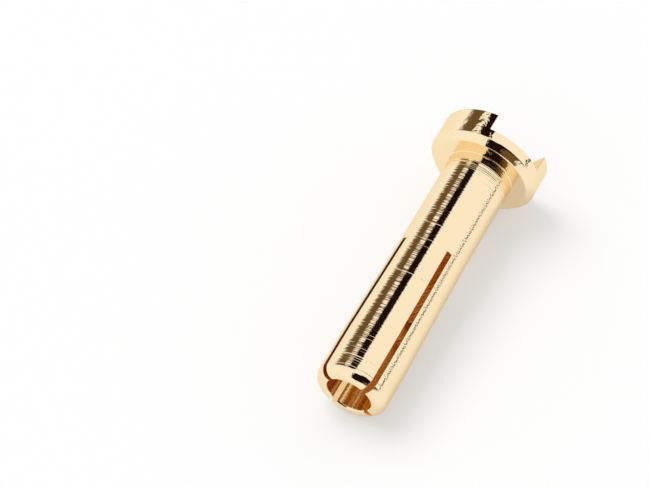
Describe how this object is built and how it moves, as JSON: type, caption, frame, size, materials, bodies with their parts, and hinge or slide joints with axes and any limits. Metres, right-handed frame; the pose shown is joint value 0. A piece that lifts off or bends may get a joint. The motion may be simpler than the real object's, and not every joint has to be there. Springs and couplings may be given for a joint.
{
  "type": "male bullet plug",
  "caption": "Gold plated male bullet plug for a battery lead: slotted spring stem with a rounded nose, and a low head with a side-entry solder cup.",
  "frame": {"origin": "centre of the head's rim face, on the axis of the stem", "axes": "+Z along the stem from the rim of the head to the nose, +X out through the wire notch"},
  "size_m": [0.0062, 0.0062, 0.0175],
  "materials": {
    "gold_plate": "gold plated, polished, with fine turning marks on the stem"
  },
  "bodies": {
    "root": {"plug": "gold_plate"}
  },
  "joints": []
}
